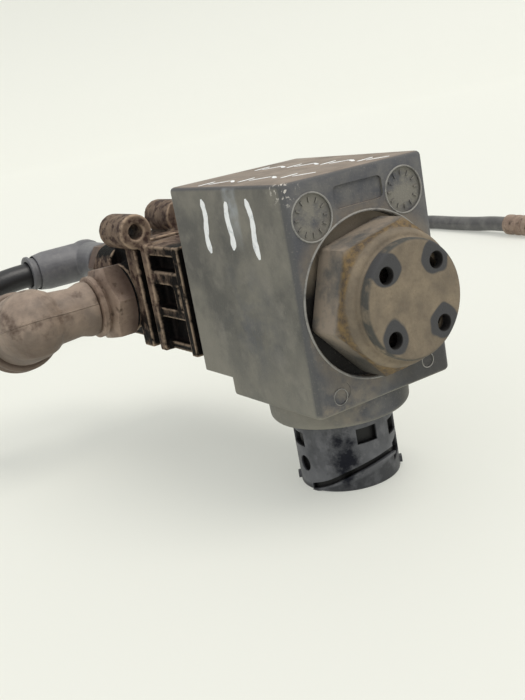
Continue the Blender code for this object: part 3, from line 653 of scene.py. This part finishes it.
cap_plastic = dusty_cap_plastic()
outline = rounded([(0, CAP_FACE), (13.5, CAP_FACE), (13.5, -118.1)], 0.9, 5)
outline += [(13.45, -117.7), (13.75, -117.4)]
for i in range(9):
    angle = math.radians(90 * i / 8)
    outline.append((13.9 + 1.7 * math.sin(angle), -117.3 + 1.9 * (1 - math.cos(angle))))
for i in range(13):
    share = i / 12
    outline.append((15.75 + 2.5 * share, -115.2 + 2.3 * share))
outline += [(18.3, -112.4), (18.3, -105), (17.6, -104.6), (0, -104.6)]
nut_flats = (18.0, math.radians(-12), -115.3, -104)
nut = turned("exhaust_nut", outline, coil_axis, cap_plastic, 240, False, nut_flats)
vents = [
    turned("bore", [(0, -103), (6.3, -103), (6.3, -117), (0, -117)], coil_axis, cap_plastic, 64),
    turned("chamber", [(0, -113), (11.3, -113), (11.3, -118.7), (0, -118.7)], coil_axis, cap_plastic, 64),
]
for x in (-VENT_AWAY, VENT_AWAY):
    for z in (-VENT_AWAY, VENT_AWAY):
        hole = [(0, 3), (VENT_RADIUS, 3), (VENT_RADIUS, 0.12), (2.05, -0.05), (2.05, -1), (0, -1)]
        vents.append(turned("vent", hole, along((0, 1, 0), (x, CAP_FACE, z)), cap_plastic, 40))
shaped(nut, "DIFFERENCE", vents)
fit(nut, "valve", "cap_plastic", "exhaust_nut_cap")

# ------------------------------------------------
# Bayonet ring. The connector's outer ring, moulded in smoother black nylon: it has windows under
# the collar, a helical ramp that draws the plug's ring up, and a round catch at the ramp's end.
RING_BOTTOM, RING_TOP = -49.4, -31.3
RING_OUTER, RING_BORE = 12.9, 10.9
WINDOWS = (
    (146, 181, -38.0, -34.2), (247, 272, -37.6, -33.6), (292, 316, -38.4, -34.4), (67, 92, -37.6, -33.6),
)
RAMP = ((184, -48.4), (208, -46.9), (232, -44.8), (256, -43.3), (280, -42.5), (300, -42.6))


def round_connector(angle, radius, height):
    """A point at this angle in degrees round the connector's axis."""
    turn = math.radians(angle)
    return Vector((radius * math.cos(turn), CONNECTOR_Y + radius * math.sin(turn), height)) * MM


def satin_nylon():
    """Black nylon with a satin moulded skin: slate-grey with dust, near black where a plug has rubbed,
    painted shade in its bore.
    """
    material, tree, shader, place = start_material("satin_moulded_nylon", 0.45)
    dust = patches(tree, place, 9, 0.36, 0.64)
    colour = tint(tree, dust, "#46474a", "#616265")
    grit = times(tree, patches(tree, place, 2.5, 0.50, 0.72), 0.5)
    colour = tint(tree, grit, colour, "#77777a")
    squat = Vector((1, 1, 0.5))
    middle = round_connector(231, RING_OUTER, -40.5) * squat
    squashed = add(tree, "ShaderNodeVectorMath", {0: place, 1: squat}, operation="MULTIPLY").outputs[0]
    away = add(
        tree, "ShaderNodeVectorMath", {0: squashed, 1: middle}, operation="DISTANCE"
    ).outputs["Value"]
    wander = add(
        tree, "ShaderNodeMath", {0: patches(tree, place, 3, 0.30, 0.70), 1: 4 * MM, 2: away},
        operation="MULTIPLY_ADD",
    )
    rubbed = ramp(tree, wander.outputs[0], 6.5, 3.5)
    spot = add(tree, "ShaderNodeSeparateXYZ", {0: place}).outputs
    below = add(
        tree, "ShaderNodeMath", {0: spot[0], 1: -0.24, 2: spot[2]}, operation="MULTIPLY_ADD"
    ).outputs[0]
    below = ramp(tree, below, -44.6, -45.4)
    below = times(tree, below, patches(tree, place, 4, 0.30, 0.55), 0.8)
    colour = tint(tree, below, colour, "#26272b")
    colour = tint(tree, times(tree, rubbed, 0.9), colour, "#060916")
    # Painted shade: the bore and the floors of the windows, ramps and catches are near black.
    level = add(tree, "ShaderNodeVectorMath", {0: place, 1: (1, 1, 0)}, operation="MULTIPLY").outputs[0]
    colour = tint(tree, near(tree, level, (0, CONNECTOR_Y, 0), 12.75, 12.3), colour, "#050505")
    for name, plain, bright in (("Roughness", 0.50, 0.30), ("Specular IOR Level", 0.40, 0.10)):
        graded = add(tree, "ShaderNodeMapRange", {0: rubbed, 3: plain, 4: bright})
        tree.links.new(graded.outputs[0], shader.inputs[name])
    coat(tree, shader, colour, patches(tree, place, 0.6, 0.3, 0.8), 0.03)
    return material


def wrapped_block(name, path, half_height, inner, outer, material):
    """A block that follows (angle, height) points round the connector, between two radii."""
    bm = bmesh.new()
    rows = []
    spots = curve_through([Vector((*p, 0)) for p in path], 6)
    for spot in spots:
        rows.append([
            bm.verts.new(round_connector(spot.x, radius, spot.y + lift))
            for radius, lift in (
                (inner, -half_height), (outer, -half_height), (outer, half_height), (inner, half_height)
            )
        ])
    for a, b in zip(rows, rows[1:]):
        for i in range(4):
            bm.faces.new([a[i], a[(i + 1) % 4], b[(i + 1) % 4], b[i]])
    bm.faces.new(rows[0])
    bm.faces.new(rows[-1])
    bmesh.ops.recalc_face_normals(bm, faces=bm.faces)
    return as_object(name, bm, material)


connector_nylon = satin_nylon()
ring = [(RING_OUTER, RING_TOP), (RING_OUTER, RING_BOTTOM), (RING_BORE, RING_BOTTOM), (RING_BORE, RING_TOP)]
bayonet = turned("bayonet", rounded(ring, 0.5, 3, True), connector_axis, connector_nylon, 144, True)
cutters = []
for low_angle, high_angle, low, high in WINDOWS:
    angles = (low_angle, (low_angle + high_angle) / 2, high_angle)
    path = [(angle, (low + high) / 2) for angle in angles]
    cutters.append(wrapped_block("window", path, (high - low) / 2, 11.5, 14, connector_nylon))
for half_turn in (0, 180):
    path = [(angle + half_turn, height) for angle, height in RAMP]
    cutters.append(wrapped_block("ramp", path, 0.75, 11.9, 14, connector_nylon))
    slot = [(angle + half_turn, -43.0 + 0.9 * (angle - 300) / 12) for angle in (296, 304, 312, 320)]
    cutters.append(wrapped_block("catch", slot, 2.4, 11.6, 14, connector_nylon))
    pocket_angle = math.radians(176 + half_turn)
    out = (math.cos(pocket_angle), math.sin(pocket_angle), 0)
    place = along(out, round_connector(176 + half_turn, 11.6, -42.6) / MM)
    pocket = [(0, 4), (2.1, 4), (2.1, 0), (0, 0)]
    cutters.append(turned("catch_pocket", pocket, place, connector_nylon, 40))
shaped(bayonet, "DIFFERENCE", cutters)
fit(bayonet, "valve", "connector_plastic", "bayonet_ring")

# The ramp's raised lower edge and two small lugs that stand on the ring.
raised = []
for half_turn in (0, 180):
    path = [(angle + half_turn, height - 1.15) for angle, height in RAMP]
    raised.append(wrapped_block("ramp_edge", path, 0.35, 12.6, 13.2, connector_nylon))
    lug = [(angle + half_turn, -47.9) for angle in (321, 325, 329)]
    raised.append(wrapped_block("lug", lug, 0.8, 12.6, 13.6, connector_nylon))
bm = bmesh.new()
for piece in raised:
    bm.from_mesh(piece.data)
    bpy.data.objects.remove(piece, do_unlink=True)
for vert in bm.verts:
    vert.co.z = max(vert.co.z, (RING_BOTTOM + 0.05) * MM)
fit(as_object("bayonet_ribs", bm, connector_nylon), "valve", "connector_plastic")

# ------------------------------------------------
# Valve body. Die-cast aluminium, never painted: soft cast edges, a pitted skin, brown road grime
# baked into the pockets with painted shade, and worn bright along the ribs with a painted highlight.


def cast_aluminium():
    """Die-cast aluminium, oxidised to a brown grey, black with grime and painted shade in the pockets,
    bright on its edges with wear and a painted highlight.
    """
    material, tree, shader, place = start_material("grimy_cast_aluminium", 0.62, 0.25)
    spot = add(tree, "ShaderNodeSeparateXYZ", {0: place}).outputs
    across = add(tree, "ShaderNodeMath", {0: spot[0]}, operation="ABSOLUTE").outputs[0]
    bend = add(tree, "ShaderNodeNewGeometry", {}).outputs["Pointiness"]
    metal = tint(tree, patches(tree, place, 4, 0.36, 0.64), "#5f5046", "#82705f")
    metal = tint(tree, patches(tree, place, 2.4, 0.48, 0.60), metal, "#3f302b")
    # Grime with painted shade: the pockets, the end by the coil box and the low parts go near black.
    black = tint(tree, patches(tree, place, 1.6, 0.50, 0.70), "#030202", "#17110d")
    outer = add(
        tree, "ShaderNodeMath", {0: patches(tree, place, 3, 0.3, 0.6), 1: 0.9 * MM, 2: across},
        operation="MULTIPLY_ADD",
    )
    outer = ramp(tree, outer.outputs[0], 19.9, 20.6)
    above = ramp(tree, spot[2], 12.4, 13.4)
    reached = add(tree, "ShaderNodeMath", {0: outer, 1: above}, operation="MAXIMUM").outputs[0]
    soot_and_shade_by_box = times(tree, ramp(tree, spot[1], -40, -45), patches(tree, place, 2.5, 0.30, 0.44))
    low = times(tree, ramp(tree, spot[2], -3, -10), patches(tree, place, 2.5, 0.36, 0.52))
    soot = add(tree, "ShaderNodeMath", {0: soot_and_shade_by_box, 1: low}, operation="MAXIMUM").outputs[0]
    colour = tint(tree, soot, metal, black)
    colour = tint(tree, reached, black, colour)
    # Edge wear with a painted highlight: convex edges are lightened.
    edge = times(tree, ramp(tree, bend, 0.51, 0.545, 1), patches(tree, place, 2, 0.34, 0.52))
    colour = tint(tree, times(tree, edge, 0.8), colour, "#b5a08a")
    # Painted shade: concave creases are darkened.
    crevice_shade = ramp(tree, bend, 0.49, 0.44, 1)
    colour = tint(tree, crevice_shade, colour, "#1d1613")
    shader.inputs["Specular IOR Level"].default_value = 0.12
    shine = add(tree, "ShaderNodeMapRange", {0: edge, 3: 0.0, 4: 0.5})
    tree.links.new(shine.outputs[0], shader.inputs["Metallic"])
    coat(tree, shader, colour, patches(tree, place, 0.9, 0.25, 0.8), 0.16)
    return material


def softened(name, node, grain, passes, material):
    """A copy of a CAD node with its hard corners and joints run together, as in a casting or moulding."""
    bm = bmesh.new()
    bm.from_mesh(nodes[node].data)
    bmesh.ops.remove_doubles(bm, verts=bm.verts, dist=0.005 * MM)
    obj = as_object(name, bm, material)
    melt = obj.modifiers.new("Melt", "REMESH")
    melt.mode = "VOXEL"
    melt.voxel_size = grain
    ease = obj.modifiers.new("Ease", "SMOOTH")
    ease.factor = 0.5
    ease.iterations = passes
    plain_mesh(obj, 180)
    obj.data.materials.clear()
    obj.data.materials.append(material)
    return obj


casting = softened("body_casting", "valve_body", 0.42 * MM, 4, cast_aluminium())
fit(casting, "valve", "cast_aluminium", "valve_body")

# ------------------------------------------------
# Side elbow. A push-in fitting for a 12 mm tube: a brass stud with a hexagon, and a nylon elbow
# that swivels on it, with a ringed end cap and a black collet. Tan dust covers the whole of it.
SIDE_Y, SIDE_Z = -11.0, -3.5
side_axis = along((-1, 0, 0), (0, SIDE_Y, SIDE_Z))
LEG_DROP = math.radians(15)
leg_axis = along((0, math.cos(LEG_DROP), -math.sin(LEG_DROP)), (-50, SIDE_Y, SIDE_Z))


def dusty_nylon():
    """Moulded nylon under a tan film, brown where oil has held the dust, painted shade low down, with its
    parting line.
    """
    material, tree, shader, place = start_material("dusty_moulded_nylon", 0.60)
    cloud = patches(tree, place, 9, 0.38, 0.62)
    colour = tint(tree, cloud, "#76685c", "#9b8979")
    # Painted shade: the elbow is darker brown below its axis.
    below = add(tree, "ShaderNodeSeparateXYZ", {0: place}).outputs[2]
    below = times(tree, ramp(tree, below, SIDE_Z - 1, SIDE_Z - 7), 0.7)
    colour = tint(tree, below, colour, "#4f4034")
    oil = patches(tree, place, 6, 0.54, 0.70)
    colour = tint(tree, oil, colour, "#57463a")
    up = Vector((0, math.sin(LEG_DROP), math.cos(LEG_DROP)))
    offset = up.dot(Vector((0, SIDE_Y, SIDE_Z))) * MM
    away = add(tree, "ShaderNodeVectorMath", {0: place, 1: up}, operation="DOT_PRODUCT").outputs["Value"]
    away = add(tree, "ShaderNodeMath", {0: away, 1: offset}, operation="SUBTRACT").outputs[0]
    away = add(tree, "ShaderNodeMath", {0: away}, operation="ABSOLUTE").outputs[0]
    seam = ramp(tree, away, 0.28, 0.05)
    fine = patches(tree, place, 0.8, 0.25, 0.8)
    height = add(tree, "ShaderNodeMath", {0: seam, 1: 4.0, 2: fine}, operation="MULTIPLY_ADD").outputs[0]
    coat(tree, shader, colour, height, 0.06)
    return material


tan_nylon = dusty_nylon()
stud = [(5.4, 40.5), (5.4, 31.3), (8.8, 31.3), (9.3, 31.0), (9.3, 29.7), (8.8, 29.3)]
stud += [(8.0, 29.1), (8.0, 28.6)]
stud += [(8.6 + 4.0 * i / 10, 28.3 - 1.7 * i / 10) for i in range(11)]
stud += [(12.6, 22.4)] + [(12.6 - 2.4 * i / 8, 22.0 - 1.1 * i / 8) for i in range(9)]
stud += [(7.9, 20.6), (7.9, 14.7), (3.4, 14.7), (3.4, 40.5)]
stud_flats = (12.1, math.radians(8), 20.75, 28.32)
side_stud = turned("side_stud", stud, side_axis, brass_end, 180, True, stud_flats)
fit(side_stud, "valve", "dusty_brass", "side_elbow_stud")
elbow = softened("side_elbow_moulding", "side_elbow_body", 0.34 * MM, 9, tan_nylon)
fit(elbow, "side_elbow", "dusty_nylon", "side_elbow_body")
cap = [(9.4, 12.6), (11.3, 12.4), (12.0, 13.0)]
for groove in range(3):
    start = 14.2 + groove * 2.0
    cap += [(12.1, start), (12.1, start + 0.7), (11.5, start + 1.1), (11.5, start + 1.5)]
cap += [(12.1, 20.0), (11.2, 21.2), (7.6, 21.2), (7.6, 20.3), (9.4, 20.3)]
end_cap = turned("side_end_ring", rounded(cap, 0.3, 2, True), leg_axis, tan_nylon, 128, True)
fit(end_cap, "side_elbow", "dusty_nylon", "side_end_cap")
collet = [(8.6, 23.9), (8.6, 22.7), (7.2, 22.7), (7.2, 12.1), (6.1, 12.1), (6.1, 23.9)]


def fitting_nylon():
    """Black fitting nylon, moulded smooth and dulled to an even dark grey, painted lighter as a gloss
    highlight.
    """
    material, tree, shader, place = start_material("black_fitting_nylon", 0.48)
    # Dulled colour with a painted highlight: both greys are lighter than the black nylon.
    grey_and_sheen = patches(tree, place, 8, 0.35, 0.65)
    colour = tint(tree, grey_and_sheen, "#5e5e61", "#707072")
    colour = tint(tree, times(tree, patches(tree, place, 2, 0.52, 0.72), 0.2), colour, "#8b867e")
    coat(tree, shader, colour, patches(tree, place, 0.6, 0.3, 0.8), 0.03)
    return material


black_nylon = fitting_nylon()
side_collet = turned("side_push_ring", rounded(collet, 0.3, 3, True), leg_axis, black_nylon, 96, True)
fit(side_collet, "side_collet", "black_nylon", "side_collet")

# ------------------------------------------------
# Rear elbow. A smaller black push-in fitting on a brass stud, which holds the hose.
rear_axis = along((0, 1, 0), (-14, 6, 5))
rear_leg_axis = along((-1, 0, 0), (-14, 28, 5))
stud = [(3.2, 15), (3.2, 6.2), (5.6, 6.2), (5.6, 5.4)]
stud += [(5.7 + 1.3 * i / 6, 5.4 - 0.7 * i / 6) for i in range(7)]
stud += [(7.1, 1.0)] + [(7.1 - 1.1 * i / 6, 0.9 - 0.6 * i / 6) for i in range(7)]
stud += [(4.9, 0.25), (4.9, -7.0), (1.8, -7.0), (1.8, 15)]
rear_stud = turned("rear_stud", stud, rear_axis, brass_end, 120, True, (6.9, 0.0, 0.28, 5.45))
fit(rear_stud, "valve", "brass", "rear_elbow_stud")
rear_elbow = softened("rear_elbow_moulding", "rear_elbow_body", 0.26 * MM, 6, black_nylon)
fit(rear_elbow, "valve", "black_nylon", "rear_elbow_body")
rim = [(5.9, 21.0), (5.9, 20.0), (5.1, 20.0), (5.1, 12.3), (4.3, 12.3), (4.3, 21.0)]
rear_collet = turned("rear_push_ring", rounded(rim, 0.25, 3, True), rear_leg_axis, black_nylon, 72, True)
fit(rear_collet, "rear_collet", "black_nylon", "rear_collet")

# ------------------------------------------------
# Inner pieces. Turned steel, wound copper, brass and rubber, clean because they are shut in.
WAVE = math.pi / 10  # metres from one band to the next in a wave texture of scale 1


def turned_steel():
    """Zinc-plated turned steel, dulled by age, with tool rings drawn coarse, 0.8 mm apart, to show."""
    material, tree, shader, place = start_material("zinc_plated_steel", 0.32, 1.0)
    rings = add(
        tree, "ShaderNodeTexWave",
        {"Vector": place, "Scale": WAVE / (0.785 * MM), "Distortion": 0.4, "Detail": 1.0},
        bands_direction="Y",
    )
    colour = tint(tree, patches(tree, place, 4, 0.4, 0.7), "#8e8d8b", "#68645f")
    coat(tree, shader, colour, rings.outputs["Fac"], 0.01)
    return material


def wound_copper():
    """Enamelled copper wire in even layers: rounded ridges drawn 1.2 mm apart, coarser than the wire."""
    material, tree, shader, place = start_material("enamelled_copper_wire", 0.28, 1.0)
    wires = add(
        tree, "ShaderNodeTexWave", {"Vector": place, "Scale": WAVE / (1.2 * MM), "Distortion": 0.2},
        bands_direction="Y",
    ).outputs["Fac"]
    coat(tree, shader, tint(tree, wires, "#7c3f22", "#d08a5c"), wires, 0.15)
    return material


def turned_brass():
    """Clean turned brass, with tool rings drawn coarse, 0.75 mm apart, to show."""
    material, tree, shader, place = start_material("turned_brass", 0.30, 1.0)
    rings = add(
        tree, "ShaderNodeTexWave", {"Vector": place, "Scale": WAVE / (0.748 * MM), "Distortion": 0.5},
        bands_direction="Z",
    )
    colour = tint(tree, patches(tree, place, 3, 0.4, 0.7), "#d3b473", "#a98b55")
    coat(tree, shader, colour, rings.outputs["Fac"], 0.008)
    return material


def sooty_sinter():
    """Sintered bronze silencer, clogged with oily soot: dark, with grains 0.4 mm across."""
    material, tree, shader, place = start_material("sooty_sintered_bronze", 0.85, 0.3)
    grains = patches(tree, place, 0.4, 0.35, 0.65, 1.0)
    coat(tree, shader, tint(tree, grains, "#15110e", "#2c241b"), grains, 0.1)
    return material


def seal_rubber():
    """Black nitrile rubber: matte, with a faint moulded bloom."""
    material, tree, shader, place = start_material("nitrile_rubber", 0.78)
    bloom = patches(tree, place, 2, 0.45, 0.75)
    coat(tree, shader, tint(tree, bloom, "#1d1d1e", "#343434"), bloom, 0.03)
    return material


def silicone():
    """Orange silicone rubber, soft and slightly waxy."""
    material, tree, shader, place = start_material("silicone_rubber", 0.55)
    dirty = patches(tree, place, 2, 0.45, 0.75)
    coat(tree, shader, tint(tree, dirty, "#b9582c", "#7d4a30"), dirty, 0.02)
    return material


# The return spring: five coils between the fixed core and the armature's nose. In the valve its front
# coil stays with the valve and its rear coil follows the armature, so it shortens as the armature is
# pulled in; here it is copied whole from its CAD node.
steel = turned_steel()
bm = bmesh.new()
bm.from_mesh(nodes["armature_spring"].data)
spring = as_object("return_spring", bm, steel)
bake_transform(spring)
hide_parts("armature_spring")

finishes = {
    steel: (
        "yoke_frame", "guide_tube", "fixed_core", "armature", "retaining_plate",
        "plate_screw_upper_left", "plate_screw_upper_right", "plate_screw_lower_left",
        "plate_screw_lower_right", "inlet_strainer", "side_grab_ring", "rear_grab_ring",
    ),
    wound_copper(): ("winding",),
    turned_brass(): ("contact_pin_left", "contact_pin_right", "inlet_nozzle"),
    sooty_sinter(): ("silencer_disc",),
    seal_rubber(): (
        "inlet_seal", "exhaust_seal", "guide_tube_o_ring", "nut_washer", "side_stud_seal",
        "side_elbow_o_ring",
    ),
    silicone(): ("connector_seal",),
    connector_nylon: ("contact_carrier", "bobbin"),
}
for material, names in finishes.items():
    for name in names:
        nodes[name].material_slots[0].material = material

# ------------------------------------------------
# Stage. A pale seamless sweep, one broad light from above on the right and an even pale room,
# brighter overhead than at eye height. The sheet glows a little, so the shadows stay pale.
SWEEP_BACK, SWEEP_RADIUS = 2.2, 0.9  # metres
sweep = [(-2.0, 0), (SWEEP_BACK, 0)]
for angle in range(10, 91, 10):
    bend = math.radians(angle)
    sweep.append((SWEEP_BACK + SWEEP_RADIUS * math.sin(bend), SWEEP_RADIUS * (1 - math.cos(bend))))
sweep.append((SWEEP_BACK + SWEEP_RADIUS, 3.0))
bm = bmesh.new()
facing = math.atan2(0.83048, 0.49176)  # the way the camera looks, seen from above
rows = []
for back, height in sweep:
    rows.append([
        bm.verts.new((
            back * math.cos(facing) - side * math.sin(facing),
            back * math.sin(facing) + side * math.cos(facing),
            GROUND * MM + height,
        ))
        for side in (-4, 4)
    ])
for a, b in zip(rows, rows[1:]):
    bm.faces.new([a[0], b[0], b[1], a[1]])
bmesh.ops.recalc_face_normals(bm, faces=bm.faces)
paper, tree, shader, place = start_material("backlit_white_sheet", 0.6)
shader.inputs["Base Color"].default_value = linear("#b7b8b1")
shader.inputs["Emission Color"].default_value = linear("#b7b8b1")
shader.inputs["Emission Strength"].default_value = 0.66
floor = as_object("floor", bm, paper)

bpy.context.scene.view_settings.view_transform = "Standard"
room = bpy.data.worlds.new("room")
room.use_nodes = True
tree = room.node_tree
upward = add(tree, "ShaderNodeTexCoord", {}).outputs["Generated"]
upward = add(tree, "ShaderNodeSeparateXYZ", {0: upward}).outputs[2]
sky = tint(tree, ramp(tree, upward, -0.1, 0.9, 1), "#b4b6b8", "#ffffff")
tree.links.new(sky, tree.nodes["Background"].inputs["Color"])
tree.nodes["Background"].inputs["Strength"].default_value = 0.94
bpy.context.scene.world = room
for name, toward, spread, power, colour in (
    ("window", (0.35, -0.45, 1.0), 35, 1.3, "#fffaf2"),
    ("side_window", (-0.75, -0.55, 0.55), 40, 0.18, "#f2f6ff"),
):
    lamp = bpy.data.lights.new(name, "SUN")
    lamp.angle = math.radians(spread)
    lamp.energy = power
    lamp.color = linear(colour)[:3]
    placed(name, lamp).matrix_world = along(toward, (0, 0, 0))
